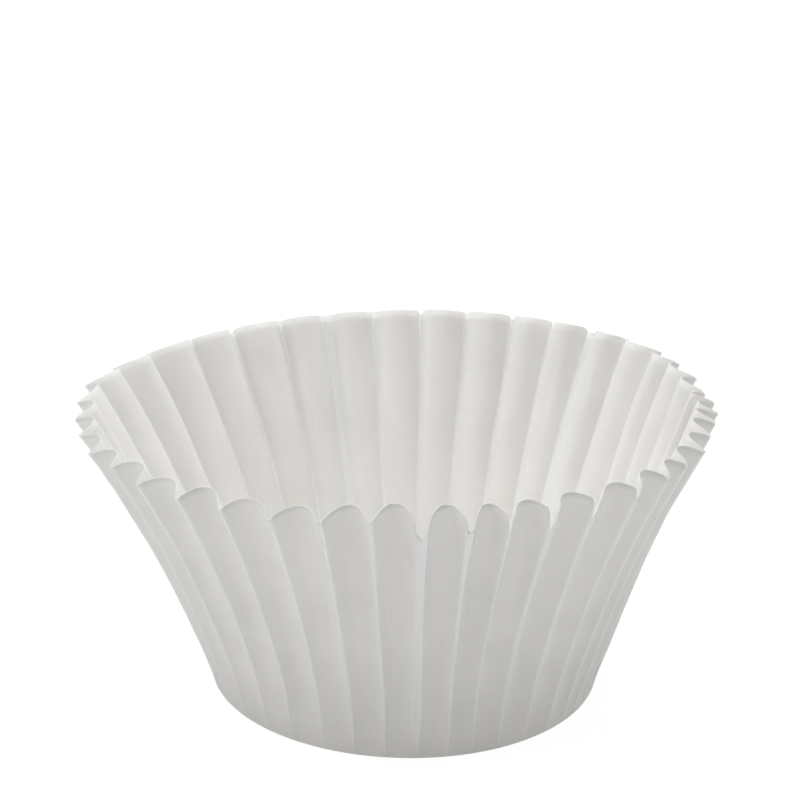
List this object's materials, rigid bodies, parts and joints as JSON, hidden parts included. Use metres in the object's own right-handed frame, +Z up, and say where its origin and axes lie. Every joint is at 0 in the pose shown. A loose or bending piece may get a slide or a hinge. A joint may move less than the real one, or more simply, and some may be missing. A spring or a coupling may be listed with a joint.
{
  "type": "cupcake liner",
  "caption": "White paper cupcake liner: an open, flared cup with a pleated wall and a flat round base, pressed from one disc of baking paper",
  "frame": {"origin": "the middle of the flat base, on the plane that the liner rests on", "axes": "+Z up, along the axis of the flared cup; +X through the middle of a valley between two ridges; the pleats repeat evenly round Z"},
  "size_m": [0.0798, 0.08, 0.0358],
  "materials": {
    "baking_paper": "matte"
  },
  "bodies": {
    "root": {"cupcake_liner": "baking_paper"}
  },
  "joints": []
}
